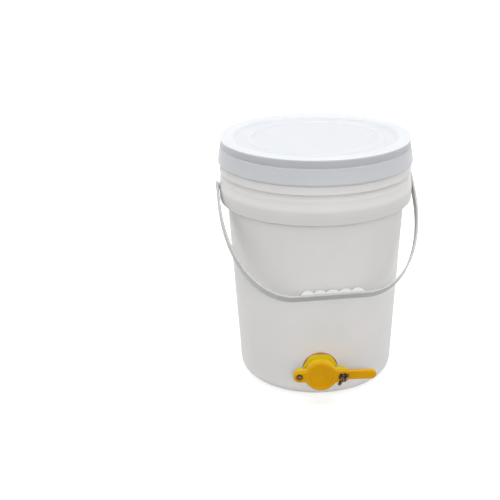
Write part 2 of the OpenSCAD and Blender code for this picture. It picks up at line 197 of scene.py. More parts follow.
# finishes
def groupMouldedSkin():  # cloudy colour, a fine mould grain and rub marks
    group, start, end = startTree("ShaderNodeTree", "mouldedSkin", {
        "Vector": "Vector", "Base": "Color", "Tint": "Color", "Cloud Scale": "Float",
        "Cloud Amount": "Float", "Grain Scale": "Float", "Rough Low": "Float", "Rough High": "Float",
        "Rub Amount": "Float",
    }, {"Color": "Color", "Roughness": "Float", "Height": "Float"})
    cloud = noise(group, start["Vector"], start["Cloud Scale"], detail=3.0, roughness=0.55)
    grain = noise(group, start["Vector"], start["Grain Scale"], detail=2.0, roughness=0.6)
    drawnOut = addNode(group, "ShaderNodeMapping", values={
        "Vector": start["Vector"], "Scale": (1.0, 1.0, 0.06)})  # streaks run up and down
    streak = noise(group, drawnOut.outputs[0], scale=420.0, detail=4.0, roughness=0.7)
    rub = ramp(group, streak, (0.60, 0.0), (0.72, start["Rub Amount"]))
    tinted = ramp(group, cloud, (0.36, 0.0), (0.64, start["Cloud Amount"]))
    satin = ramp(group, cloud, (0.3, start["Rough Low"]), (0.7, start["Rough High"]))
    worn, relief = (mathNode(group, "ADD", mathNode(group, "MULTIPLY", rub, share), base)
                    for share, base in ((0.25, satin), (-0.5, grain)))
    colour = mixColours(group, tinted, start["Base"], start["Tint"])
    feed(group, end, {"Color": colour, "Roughness": worn, "Height": relief})
    return group


def groupPlatingAndGlints():  # plating that dulls in patches, with fine marks; the bright patches also stand in for painted glints
    group, start, end = startTree("ShaderNodeTree", "platingAndGlints", {
        "Vector": "Vector", "Bright": "Color", "Dull": "Color", "Mark Scale": "Float",
    }, {"Color": "Color", "Roughness": "Float", "Height": "Float"})
    patch = noise(group, start["Vector"], scale=380.0, detail=4.0, roughness=0.6)
    dullingAndGlints = ramp(group, patch, (0.35, 0.0), (0.68, 1.0))
    colour = mixColours(group, dullingAndGlints, start["Bright"], start["Dull"])
    worn = ramp(group, patch, (0.3, 0.14), (0.7, 0.30))
    marks = noise(group, start["Vector"], start["Mark Scale"], detail=3.0, roughness=0.7)
    feed(group, end, {"Color": colour, "Roughness": worn, "Height": marks})
    return group


def paintFinish(name, group, values, shader, bumpStrength, bumpDepth):
    paint = bpy.data.materials.new(name)
    paint.use_nodes = True
    tree = paint.node_tree
    place = addNode(tree, "ShaderNodeTexCoord").outputs["Object"]
    skin = addNode(tree, "ShaderNodeGroup", {"node_tree": group}, {"Vector": place, **values}).outputs
    bump = addNode(tree, "ShaderNodeBump", values={
        "Strength": bumpStrength, "Distance": bumpDepth * mm, "Height": skin["Height"]})
    feed(tree, tree.nodes["Principled BSDF"], {
        **shader, "Base Color": skin["Color"], "Roughness": skin["Roughness"],
        "Normal": bump.outputs["Normal"]})
    return paint


def overlay(paint, mask, colour, how):  # lays a colour over a finish where the mask is one
    tree = paint.node_tree
    surface = tree.nodes["Principled BSDF"]
    skin = surface.inputs["Base Color"].links[0].from_socket
    feed(tree, surface, {"Base Color": mixColours(tree, mask, skin, colour, how)})


def paintShadeBand(paint, low, high, soft, share, edge=0.2, blueShare=0.97):  # painted shade: greys a band of heights to stand in for shade that falls there
    tree = paint.node_tree
    level = heightOf(tree, addNode(tree, "ShaderNodeTexCoord").outputs["Object"])
    over = ramp(tree, level, ((low - edge) * mm, 0.0), (low * mm, 1.0))
    mask = ramp(tree, level, ((high - soft) * mm, over), ((high + soft) * mm, 0.0))
    overlay(paint, mask, (1 - share, 1 - share, 1 - share * blueShare, 1), "MULTIPLY")


mouldedSkin = groupMouldedSkin()
platingAndGlints = groupPlatingAndGlints()


def moulded(name, shader, base, tint, cloud, grain, rough, rub, bump=(0.10, 0.05)):
    return paintFinish(name, mouldedSkin, {
        "Base": tone(*base), "Tint": tone(*tint), "Cloud Scale": cloud[0], "Cloud Amount": cloud[1],
        "Grain Scale": grain, "Rough Low": rough[0], "Rough High": rough[1], "Rub Amount": rub,
    }, shader, *bump)


milky = {"Subsurface Weight": 0.5, "Subsurface Radius": (1.0, 1.0, 0.95), "Subsurface Scale": 0.006,
         "IOR": 1.49, "Specular IOR Level": 0.25}
firm = {**milky, "Subsurface Weight": 0.1}
nylon = {"Subsurface Weight": 0.1, "Subsurface Scale": 0.002, "Specular IOR Level": 0.08}
rubber = {"Specular IOR Level": 0.3}
finishes = {
    "bucket_plastic": moulded(
        "milkyPail", milky, base=(241, 238, 236), tint=(237, 236, 233), cloud=(22.0, 0.9),
        grain=2600.0, rough=(0.38, 0.50), rub=0.5),
    "lid_plastic": moulded(
        "coolLid", milky, base=(205, 208, 212), tint=(208, 210, 213), cloud=(26.0, 0.9),
        grain=2400.0, rough=(0.36, 0.50), rub=0.4),
    "bail_plastic": moulded(
        "softBail", firm, base=(193, 194, 191), tint=(188, 190, 187), cloud=(60.0, 0.9),
        grain=2800.0, rough=(0.40, 0.52), rub=0.6, bump=(0.12, 0.05)),
    "gate_plastic": moulded(
        "lemonGate", {**nylon, "Subsurface Radius": (1.0, 0.6, 0.1)}, base=(226, 196, 26),
        tint=(218, 184, 20), cloud=(110.0, 0.8), grain=3200.0, rough=(0.22, 0.36), rub=0.5),
    "plate_plastic": moulded(
        "amberPlate", {**nylon, "Subsurface Radius": (1.0, 0.5, 0.1)}, base=(224, 166, 12),
        tint=(218, 158, 8), cloud=(120.0, 0.8), grain=3200.0, rough=(0.24, 0.38), rub=0.6),
    "seal_rubber": moulded(
        "brownSeal", rubber, base=(190, 136, 92), tint=(176, 122, 82), cloud=(160.0, 1.0),
        grain=2200.0, rough=(0.62, 0.80), rub=0.4, bump=(0.25, 0.08)),
    "lid_seal_rubber": moulded(
        "paleSeal", rubber, base=(204, 203, 199), tint=(192, 192, 188), cloud=(120.0, 1.0),
        grain=2200.0, rough=(0.60, 0.78), rub=0.3, bump=(0.25, 0.08)),
    # painted reflection: dark, warm steel tones stand in for the dark surroundings and yellow plastic
    # that the steel reflects
    "steel": paintFinish("zincSteel", platingAndGlints, {
        "Bright": tone(118, 105, 88), "Dull": tone(54, 46, 36), "Mark Scale": 1800.0},
        {"Metallic": 1.0}, 0.10, 0.03),
}
print("finishes made:", len(finishes))


# shared shapes, in millimetres
weldGap, sliver = 1e-6, 1e-7  # metres
creaseAngle = 38  # degrees, from which an edge is shaded sharp
past = 1  # that a cutter runs past a face
quarterX, quarterY = (Matrix.Rotation(math.pi / 2, 4, axis) for axis in "XY")


def arcPoints(centre, radius, start, stop, steps=12):
    turns = [math.radians(start + (stop - start) * i / steps) for i in range(steps + 1)]
    return [Vector((centre[0] + radius * math.cos(a), centre[1] + radius * math.sin(a))) for a in turns]


def roundPath(corners, closed=False, steps=5):  # corners are across, along and a rounding radius
    straight = math.radians(89.5)  # half angle that is no corner
    most = 0.48  # share of a side that a rounding may take
    path = []
    last = len(corners) - 1
    for i, (x, y, radius) in enumerate(corners):
        here = Vector((x, y))
        if radius <= 0 or (not closed and i in (0, last)):
            path.append(here)
            continue
        before = Vector(corners[i - 1][:2]) - here
        after = Vector(corners[(i + 1) % len(corners)][:2]) - here
        half = before.angle(after) / 2
        if half > straight:
            path.append(here)
            continue
        reach = min(radius / math.tan(half), before.length * most, after.length * most)
        radius = reach * math.tan(half)
        before, after = before.normalized(), after.normalized()
        middle = here + (before + after).normalized() * (radius / math.sin(half))
        first = here + before * reach - middle
        final = here + after * reach - middle
        sweep = first.angle_signed(final)
        for k in range(steps + 1):
            path.append(middle + Matrix.Rotation(-sweep * k / steps, 2) @ first)
    return path


def showMesh(name, points, edges, faces):
    mesh = bpy.data.meshes.new(name)
    mesh.from_pydata([Vector(p) * mm for p in points], edges, faces)
    piece = bpy.data.objects.new(name, mesh)
    scene.collection.objects.link(piece)
    return piece


def bakeShape(piece):
    bpy.context.view_layer.update()
    graph = bpy.context.evaluated_depsgraph_get()
    ready = piece.evaluated_get(graph)
    mesh = bpy.data.meshes.new_from_object(ready, preserve_all_data_layers=True, depsgraph=graph)
    old = piece.data
    piece.modifiers.clear()
    piece.data = mesh
    bpy.data.meshes.remove(old)
    mesh.name = piece.name
    return piece


def faceOutwards(piece):
    work = bmesh.new()
    work.from_mesh(piece.data)
    bmesh.ops.remove_doubles(work, verts=work.verts, dist=weldGap)
    bmesh.ops.dissolve_degenerate(work, edges=work.edges, dist=sliver)
    bmesh.ops.recalc_face_normals(work, faces=work.faces)
    work.to_mesh(piece.data)
    work.free()
    return piece


def startShape(name, inputs):  # a tree that makes a shape and paints it
    inputs = {"Geometry": "Geometry", **inputs, "Finish": "Material"}
    return startTree("GeometryNodeTree", name, inputs, {"Geometry": "Geometry"})


def endShape(tree, geometry, start, end):
    real = addNode(tree, "GeometryNodeRealizeInstances", values={"Geometry": geometry})
    smooth = addNode(tree, "GeometryNodeSetShadeSmooth", values={0: real.outputs[0]})
    paint = addNode(tree, "GeometryNodeSetMaterial", values={
        "Geometry": smooth.outputs[0], "Material": start["Finish"]})
    feed(tree, end, {"Geometry": paint.outputs[0]})
    return tree


def growTree(piece, tree, slot, values):
    grown = piece.modifiers.new(tree.name, "NODES")
    grown.node_group = tree
    values = {**values, "Finish": finishes[slot]}
    for socket in tree.interface.items_tree:
        if socket.in_out == "INPUT" and socket.name in values:
            grown[socket.identifier] = values[socket.name]
    return faceOutwards(bakeShape(piece))


def treeTurned():  # turns a row of points round Z, with a screw thread cut where one is asked for
    tree, start, end = startShape("turnedShape", {
        "Segments": "Int", "Thread Pitch": "Float", "Thread Depth": "Float",
        "Thread Low": "Float", "Thread High": "Float"})
    size = addNode(tree, "GeometryNodeAttributeDomainSize", values={0: start["Geometry"]})
    columns = mathNode(tree, "ADD", start["Segments"], 1.0)
    grid = addNode(tree, "GeometryNodeMeshGrid", values={
        "Vertices X": size.outputs["Point Count"], "Vertices Y": columns})
    index = addNode(tree, "GeometryNodeInputIndex").outputs[0]
    row = mathNode(tree, "FLOOR", mathNode(tree, "DIVIDE", mathNode(tree, "ADD", index, 0.5), columns))
    column = mathNode(tree, "SUBTRACT", index, mathNode(tree, "MULTIPLY", row, columns))
    share = mathNode(tree, "DIVIDE", column, start["Segments"])
    place = addNode(tree, "GeometryNodeInputPosition").outputs[0]
    point = addNode(tree, "GeometryNodeSampleIndex", {"data_type": "FLOAT_VECTOR"}, {
        "Geometry": start["Geometry"], "Value": place, "Index": row})
    spot = addNode(tree, "ShaderNodeSeparateXYZ", values={0: point.outputs[0]}).outputs
    climb = mathNode(tree, "DIVIDE", spot["Z"], start["Thread Pitch"])
    wave = mathNode(tree, "PINGPONG", mathNode(tree, "SUBTRACT", climb, share), 0.5)
    above = mathNode(tree, "GREATER_THAN", spot["Z"], start["Thread Low"])
    below = mathNode(tree, "LESS_THAN", spot["Z"], start["Thread High"])
    depth = mathNode(tree, "MULTIPLY", start["Thread Depth"], mathNode(tree, "MULTIPLY", above, below))
    groove = mathNode(tree, "MULTIPLY", depth, mathNode(tree, "MULTIPLY", wave, 2.0))
    moved = addNode(tree, "ShaderNodeCombineXYZ", values={
        "X": mathNode(tree, "SUBTRACT", spot["X"], groove), "Z": spot["Z"]})
    turn = addNode(tree, "ShaderNodeVectorRotate", {"rotation_type": "Z_AXIS"}, {
        "Vector": moved.outputs[0], "Angle": mathNode(tree, "MULTIPLY", share, 2 * math.pi)})
    turned = addNode(tree, "GeometryNodeSetPosition", values={
        "Geometry": grid.outputs["Mesh"], "Position": turn.outputs[0]})
    weld = addNode(tree, "GeometryNodeMergeByDistance", values={
        "Geometry": turned.outputs[0], "Distance": weldGap})
    return endShape(tree, weld.outputs[0], start, end)


turnedShape = treeTurned()


def turnPiece(name, path, slot, segments=96, thread=(1, 0, 0, 0)):  # thread is pitch, depth, low and high
    piece = showMesh(name, [(r, 0, z) for r, z in path], [], [])
    pitch, depth, low, high = thread
    return growTree(piece, turnedShape, slot, {
        "Segments": segments, "Thread Pitch": pitch * mm, "Thread Depth": depth * mm,
        "Thread Low": low * mm, "Thread High": high * mm})


def ringPath(outer, inner, low, high, edge):
    corners = [(inner, low, edge), (outer, low, edge), (outer, high, edge), (inner, high, edge)]
    path = roundPath(corners, True, 4)
    return path + path[:1]


def drill(name, radius, low, high, lip=0.0, segments=64):  # a cutter, with a rounded lip at its top
    path = [(0, low), (radius, low)]
    if lip:
        path += [Vector((radius + lip, high)) + Vector((-lip * math.cos(a), -lip + lip * math.sin(a)))
                 for a in (math.pi / 2 * i / 4 for i in range(5))]
        path += [(radius + lip, high + past), (0, high + past)]
    else:
        path += [(radius, high), (0, high)]
    return turnPiece(name, path, "steel", segments)


def insetOutline(outline, inset):
    sharpest = 0.4  # cosine that keeps sharp corners from running away
    moved = []
    for i, here in enumerate(outline):
        before = (here - outline[i - 1]).normalized()
        after = (outline[(i + 1) % len(outline)] - here).normalized()
        inwards = Vector((-before.y - after.y, before.x + after.x)).normalized()
        moved.append(here + inwards * inset / max(sharpest, inwards.dot(Vector((-before.y, before.x)))))
    return moved


def roundSteps(low, high, edge, steps=4):  # pairs of inset and height over a plate's rounded edge
    turns = [math.pi / 2 * i / steps for i in range(steps + 1)]
    foot = [(edge * (1 - math.sin(a)), low + edge * (1 - math.cos(a))) for a in turns]
    return foot + [(inset, low + high - z) for inset, z in reversed(foot)]


def platePiece(name, outline, steps, slot):
    points = []
    for inset, z in steps:
        points += [(p.x, p.y, z) for p in insetOutline(outline, inset)]
    count = len(outline)
    faces = [tuple(reversed(range(count))), tuple(range(len(points) - count, len(points)))]
    for ring in range(len(steps) - 1):
        for i in range(count):
            a, b = ring * count + i, ring * count + (i + 1) % count
            faces.append((a, b, b + count, a + count))
    piece = showMesh(name, points, [], faces)
    piece.data.materials.append(finishes[slot])
    return faceOutwards(piece)


def combine(piece, tools, how):
    for tool in tools:
        step = piece.modifiers.new(how, "BOOLEAN")
        step.operation = how
        step.object = tool
        step.solver = "MANIFOLD"
        bakeShape(piece)
        bpy.data.objects.remove(tool)
    return piece


def movePiece(piece, matrix):  # the matrix has its shift in metres
    piece.data.transform(matrix)
    return piece


def settle(piece, body, slot, *nodes):
    faceOutwards(piece)
    mesh = piece.data
    mesh.materials.clear()
    mesh.materials.append(finishes[slot])
    for face in mesh.polygons:
        face.material_index = 0
        face.use_smooth = True
    mesh.set_sharp_from_angle(angle=math.radians(creaseAngle))
    weigh = piece.modifiers.new("evenShading", "WEIGHTED_NORMAL")
    weigh.keep_sharp = True
    bakeShape(piece)
    if nodes:
        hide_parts(*nodes)
    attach(piece, body)
    print("made", piece.name, len(piece.data.polygons), "faces")


# places that the frame gives
mounts = {mount["name"]: mount for mount in frame["record"]["mounts"]}
joints = {joint["name"]: joint for joint in frame["joints"]}
gateOut = Vector(mounts["honey_outlet"]["axis"])
gateRight = Vector((1, 0, 0))
gateUp = gateOut.cross(gateRight)
gateTurn = Matrix((gateRight, gateUp, gateOut)).transposed().to_4x4()
gatePlace = Matrix.Translation(mounts["honey_outlet"]["pos_m"]) @ gateTurn
earAxis = -Vector(joints["bail_swing"]["axis"])
earTurn = math.atan2(earAxis.y, earAxis.x)
earHigh = joints["bail_swing"]["pos_m"][2] / mm


def earPlace(side=0):  # on the bail's pivot, turned to one side
    return Matrix.Translation((0, 0, earHigh * mm)) @ Matrix.Rotation(earTurn + side, 4, "Z")


# bucket
pail = {
    "high": 260.0, "baseWide": 164.4, "draft": 3.0, "wall": 2.2, "floor": 2.6, "baseRound": 16.0,
    "footHigh": 3.0, "footWide": 9.0, "shoulder": 233.9, "roof": 230.0, "collarTop": 224.0,
    "collarLow": 195.0, "bandTop": 208.0, "collarWall": 2.0, "rimOut": 1.5, "rimTop": 256.6,
    "bead": 0.9, "beadHigh": 245.4, "neckOut": 2.9, "bandOut": 4.2, "bandLean": 0.9, "bandTuck": 0.4,
    "groove": 1.2, "grooveHalf": 1.9, "ledge": 0.5, "neckLean": 1.5,
    "hollowIn": 0.15, "hollowDrop": 4.75, "hollowRise": 8.0,  # the collar's hollow upper band
    "flareIn": 0.1, "flareRise": 2.5, "flareDrop": 0.5,
    "padWide": 37.0, "padBack": 5.218, "spigotHole": 24.6, "holeIn": 20.0, "holeOut": 5.0,
    "earHole": 6.1, "gussets": 16, "gussetThick": 1.4, "gussetRise": 4.2, "gussetTop": 1.5,
    "gussetRoot": 0.8, "gussetFoot": 0.9, "gussetOut": 0.4, "gussetEdge": 0.25,
}


def wallRadius(z):
    return pail["baseWide"] / 2 + z * math.tan(math.radians(pail["draft"]))


wallLevel = pail["wall"] / math.cos(math.radians(pail["draft"]))
rimRadius = wallRadius(pail["shoulder"]) + pail["rimOut"]
rimInner = rimRadius - pail["wall"]
neckRadius = rimRadius + pail["neckOut"]
neckInner = neckRadius - pail["collarWall"]
collarRadius = rimRadius + pail["bandOut"]
collarInner = collarRadius - pail["collarWall"]
hollowLean = (collarInner - neckInner) / (pail["collarTop"] - pail["bandTop"])


def pailPath():
    roof, shoulder, rimTop = pail["roof"], pail["shoulder"], pail["rimTop"]
    collarTop, collarLow, bandTop = pail["collarTop"], pail["collarLow"], pail["bandTop"]
    floorTop = pail["footHigh"] + pail["floor"]
    footInner = wallRadius(0) - pail["baseRound"] - pail["footWide"]
    bead, beadHigh, groove = pail["bead"], pail["beadHigh"], pail["grooveHalf"]
    ledge, grooveFloor = neckRadius + pail["ledge"], neckRadius - pail["groove"]
    band = collarRadius - pail["bandLean"]
    return roundPath([
        (0, floorTop, 0), (wallRadius(floorTop) - wallLevel, floorTop, pail["baseRound"] - pail["wall"]),
        (wallRadius(roof) - wallLevel, roof, 3), (rimInner, shoulder, 3),
        (rimInner, rimTop, 0.9), (rimRadius, rimTop, 0.9),
        (rimRadius, beadHigh + bead, 0.4), (rimRadius + bead, beadHigh, 0.4),
        (rimRadius, beadHigh - bead, 0.4), (rimRadius, shoulder, 0.6),
        (ledge - pail["neckLean"], shoulder, 0.7), (ledge, collarTop + groove, 0.6),
        (grooveFloor, collarTop + groove / 2, 0.5), (grooveFloor, collarTop - groove / 4, 0.5),
        (band - pail["hollowIn"], collarTop - pail["hollowDrop"], 5),
        (band, bandTop + pail["hollowRise"], 12),
        (collarRadius - pail["flareIn"], bandTop + pail["flareRise"], 5),
        (collarRadius, bandTop - pail["flareDrop"], 5),
        (collarRadius - pail["bandTuck"], collarLow, 0.9), (collarInner, collarLow, 0.5),
        (collarInner, bandTop, 2), (neckInner, collarTop, 2), (neckInner, roof, 1),
        (wallRadius(roof), roof, 1.5), (wallRadius(0), 0, pail["baseRound"]), (footInner, 0, 0.8),
        (footInner - pail["footHigh"] / 2, pail["footHigh"], 0.8), (0, pail["footHigh"], 0)], steps=7)


def treeRibs():  # copies of one rib, evenly round Z
    tree, start, end = startShape("ribRow", {"Ribs": "Int", "First Turn": "Float"})
    spots = addNode(tree, "GeometryNodePoints", values={"Count": start["Ribs"]})
    index = addNode(tree, "GeometryNodeInputIndex").outputs[0]
    step = mathNode(tree, "DIVIDE", 2 * math.pi, start["Ribs"])
    angle = mathNode(tree, "ADD", mathNode(tree, "MULTIPLY", index, step), start["First Turn"])
    turn = addNode(tree, "ShaderNodeCombineXYZ", values={"Z": angle})
    copies = addNode(tree, "GeometryNodeInstanceOnPoints", values={
        "Points": spots.outputs[0], "Instance": start["Geometry"], "Rotation": turn.outputs[0]})
    return endShape(tree, copies.outputs[0], start, end)


def makeBucket():
    shell = turnPiece("bucketShell", pailPath(), "bucket_plastic", 224)
    back, edge = -pail["padBack"], pail["padWide"] / 2
    path = roundPath([(0, back, 0), (edge, back, 0.5), (edge, 0, 0.4), (0, 0, 0)])
    pad = turnPiece("outletPad", path, "bucket_plastic")
    combine(shell, [movePiece(pad, gatePlace)], "UNION")
    hole = drill("spigotHole", pail["spigotHole"] / 2, -pail["holeIn"], pail["holeOut"], segments=96)
    combine(shell, [movePiece(hole, gatePlace)], "DIFFERENCE")
    for side in (0, math.pi):
        hole = drill("earHole", pail["earHole"] / 2, collarInner - past, collarRadius + past, segments=48)
        combine(shell, [movePiece(hole, earPlace(side) @ quarterY)], "DIFFERENCE")
    settle(shell, "bucket", "bucket_plastic", "bucket")


def makeGussets():
    low, high, root = earHigh + pail["gussetRise"], pail["roof"] + pail["gussetTop"], pail["gussetRoot"]
    outer = neckInner + pail["gussetOut"]
    outline = [Vector(corner) for corner in (
        (wallRadius(low) - root, low), (collarInner + pail["gussetFoot"], low),
        (outer, pail["collarTop"]), (outer, high), (wallRadius(high) - root, high))]
    half = pail["gussetThick"] / 2
    steps = roundSteps(-half, half, pail["gussetEdge"], 2)
    rib = platePiece("collarGussets", outline, steps, "bucket_plastic")
    growTree(movePiece(rib, quarterX), treeRibs(), "bucket_plastic", {
        "Ribs": pail["gussets"], "First Turn": earTurn + math.pi / pail["gussets"]})
    settle(rib, "bucket", "bucket_plastic")


pailPaintedShades = {  # painted shade on the collar's band and groove: low and high edge and softness in mm, share of grey
    "flare": (pail["collarLow"], pail["bandTop"] + 0.5, 1.5, 0.10),
    "flareFoot": (pail["collarLow"], pail["bandTop"] - 6.5, 6.5, 0.07),
    "groove": (pail["collarTop"] - 0.8, pail["collarTop"] + 1.2, 0.7, 0.03),
}
for paintedShade in pailPaintedShades.values():
    paintShadeBand(finishes["bucket_plastic"], *paintedShade)
makeBucket()
makeGussets()


# lid
lid = {
    "wall": 1.8, "clear": 0.4, "skirt": 25.5, "band": 10.0, "flare": 2.5, "ridge": 0.3, "lip": 0.25,
    "cove": 0.9, "coveRise": 1.0, "border": 11.2, "recess": 3.0, "panelRamp": 5.0,
    "ringWide": 136.0, "ring": 6.0, "ringHigh": 0.8, "plug": 8.0, "edgeTuck": 0.4, "beadClear": 0.3,
    "beadBack": 0.8, "sealSide": 0.3, "sealEdge": 0.6,
    "shadeDrop": 1.4, "shadeSoft": 0.5, "paintedShade": 0.06,  # painted shade under the lip
}
lidInner = rimRadius + lid["clear"]
lidRadius = lidInner + lid["wall"]
plugRadius = rimInner - lid["clear"]


def lidPath():
    top, wall, rise, back = pail["high"], lid["wall"], lid["ringHigh"], lid["beadBack"]
    panel, under, edge, ridge = top - lid["recess"], top - wall, top - lid["skirt"], top - lid["band"]
    ringInner, ringOuter = lid["ringWide"] / 2 - lid["ring"] / 2, lid["ringWide"] / 2 + lid["ring"] / 2
    recess, flare, plugLow = lidRadius - lid["border"], lidRadius + lid["flare"], under - lid["plug"]
    beadHigh = edge + lid["skirt"] / 4
    return roundPath([
        (0, panel, 0), (ringInner, panel, 2), (ringInner + rise, panel + rise, 2),
        (ringOuter - rise, panel + rise, 2), (ringOuter, panel, 2),
        (recess - lid["panelRamp"], panel, 6), (recess, top, 3), (lidRadius + lid["lip"], top, 1.1),
        (lidRadius - lid["cove"], ridge + lid["coveRise"], 0.8),
        (lidRadius + lid["ridge"], ridge, 0.35),
        (lidRadius + lid["ridge"] / 2, ridge - lid["ridge"], 0.4),
        (flare, edge + wall, 1.2), (flare - lid["edgeTuck"], edge, 0.5),
        (flare - wall, edge, 0.4), (flare - wall, edge + wall, 0.6),
        (rimRadius + pail["bead"] + lid["beadClear"], beadHigh, 0.5),
        (flare - wall - back, beadHigh + back, 0.6), (lidInner, ridge, 1), (lidInner, under, 0.6),
        (plugRadius, under, 0.4), (plugRadius, plugLow, 0.8),
        (plugRadius - wall, plugLow, 0.8), (plugRadius - wall, under, 0.6),
        (recess + wall, under, 1), (recess + wall, panel - wall, 1), (0, panel - wall, 0)], steps=6)


def makeLid():
    settle(turnPiece("snapLid", lidPath(), "lid_plastic", 224), "lid", "lid_plastic", "lid")
    outer, inner = lidInner - lid["sealSide"], plugRadius + lid["sealSide"]
    path = ringPath(outer, inner, pail["rimTop"], pail["high"] - lid["wall"], lid["sealEdge"])
    settle(turnPiece("lidSeal", path, "lid_seal_rubber", 160), "lid", "lid_seal_rubber", "lid_seal")


# painted shade: the lid's upper band greyed under the lip
paintShadeBand(finishes["lid_plastic"], pail["high"] - lid["band"], pail["high"] - lid["shadeDrop"],
           lid["shadeSoft"], lid["paintedShade"])
makeLid()


# bail
bail = {
    "wide": 11.0, "thick": 2.4, "edge": 0.9, "armGap": 0.6, "arm": 17.0, "runHalf": 35.0, "power": 2.1,
    "over": 15.9, "restGap": 0.5,
    "stud": 6.0, "headWide": 8.4, "headThick": 2.0, "headGap": 0.3, "headTip": 0.5,
    "bumps": 5, "bumpPitch": 12.5, "bumpRound": 8.0, "bumpHigh": 4.6, "bumpInset": 0.35, "bumpEdge": 0.9,
    "bumpStep": 0.02,  # keeps the ends of neighbouring bumps out of one plane
    # painted light on the finger bumps: its tone, half width and softness
    "gripLightTone": (217, 218, 216), "gripLightHalf": 32.5, "gripLightSoft": 0.3,
}
armInner = max(collarRadius, lidRadius + lid["flare"]) + bail["armGap"]
armMiddle = armInner + bail["thick"] / 2
bumpTop = math.hypot(lidRadius, pail["high"] - earHigh) + bail["over"]
runMiddle = bumpTop + bail["bumpHigh"] + bail["thick"] / 2


def restLean():  # the lean at which the grip's back edge comes to the wall
    slope = math.tan(math.radians(pail["draft"]))
    along = bumpTop + bail["wide"] / 2 * slope
    across = bumpTop * slope - bail["wide"] / 2
    reach = wallRadius(earHigh) + bail["restGap"] / math.cos(math.radians(pail["draft"]))
    return math.asin(reach / math.hypot(along, across)) - math.atan2(across, along)


def treeBand():  # sweeps a round-edged flat strip along a row of points
    tree, start, end = startShape("sweptBand", {"Thickness": "Float", "Width": "Float", "Edge": "Float"})
    line = addNode(tree, "GeometryNodeMeshToCurve", values={0: start["Geometry"]})
    upright = addNode(tree, "GeometryNodeSetCurveNormal", {"mode": "Z_UP"}, {0: line.outputs[0]})
    section = addNode(tree, "GeometryNodeCurvePrimitiveQuadrilateral", values={
        "Width": start["Thickness"], "Height": start["Width"]})
    rounded = addNode(tree, "GeometryNodeFilletCurve", {"mode": "POLY"}, {
        "Curve": section.outputs[0], "Radius": start["Edge"], "Count": 4})
    sweep = addNode(tree, "GeometryNodeCurveToMesh", values={
        "Curve": upright.outputs[0], "Profile Curve": rounded.outputs[0], "Fill Caps": True})
    return endShape(tree, sweep.outputs[0], start, end)


def treeBumps():  # a row of bumps across the middle of the grip
    tree, start, end = startShape("bumpRow", {"Bumps": "Int", "Pitch": "Float"})
    spots = addNode(tree, "GeometryNodePoints", values={"Count": start["Bumps"]})
    index = addNode(tree, "GeometryNodeInputIndex").outputs[0]
    middle = mathNode(tree, "DIVIDE", mathNode(tree, "SUBTRACT", start["Bumps"], 1.0), 2.0)
    across = mathNode(tree, "MULTIPLY", mathNode(tree, "SUBTRACT", index, middle), start["Pitch"])
    place = addNode(tree, "ShaderNodeCombineXYZ", values={"X": across})
    row = addNode(tree, "GeometryNodeSetPosition", values={
        "Geometry": spots.outputs[0], "Position": place.outputs[0]})
    copies = addNode(tree, "GeometryNodeInstanceOnPoints", values={
        "Points": row.outputs[0], "Instance": start["Geometry"]})
    return endShape(tree, copies.outputs[0], start, end)


def bandLine(steps=40, runSteps=6):
    wide, high, power = armMiddle - bail["runHalf"], runMiddle - bail["arm"], bail["power"]
    half = [(armMiddle, 0)]
    for i in range(steps + 1):
        turn = math.pi / 2 * i / steps
        across, along = math.cos(turn) ** (2 / power), math.sin(turn) ** (2 / power)
        half.append((bail["runHalf"] + wide * across, -bail["arm"] - high * along))
    half += [(bail["runHalf"] * (1 - i / runSteps), -runMiddle) for i in range(1, runSteps + 1)]
    return half + [(-x, y) for x, y in reversed(half[:-1])]


def paintGripLight(paint):  # painted light: the finger bumps painted paler, standing in for the brighter light on their faces
    tree, half, soft = paint.node_tree, bail["gripLightHalf"], bail["gripLightSoft"]
    runInner = bumpTop + bail["bumpHigh"]

    def measure(how, first, second=(0, 0, 0)):
        return addNode(tree, "ShaderNodeVectorMath", {"operation": how}, {0: first, 1: second}).outputs

    place = addNode(tree, "ShaderNodeTexCoord").outputs["Object"]
    spot = measure("SUBTRACT", place, (0, 0, earHigh * mm))["Vector"]
    across = mathNode(tree, "ABSOLUTE", measure("DOT_PRODUCT", spot, earAxis)["Value"])
    reach = measure("LENGTH", measure("CROSS_PRODUCT", spot, earAxis)["Vector"])["Value"]
    mask = ramp(tree, across, ((half - soft) * mm, 1.0), ((half + soft) * mm, 0.0))
    mask = ramp(tree, reach, ((runInner - soft) * mm, mask), (runInner * mm, 0.0))
    overlay(paint, mask, tone(*bail["gripLightTone"]), "MIX")


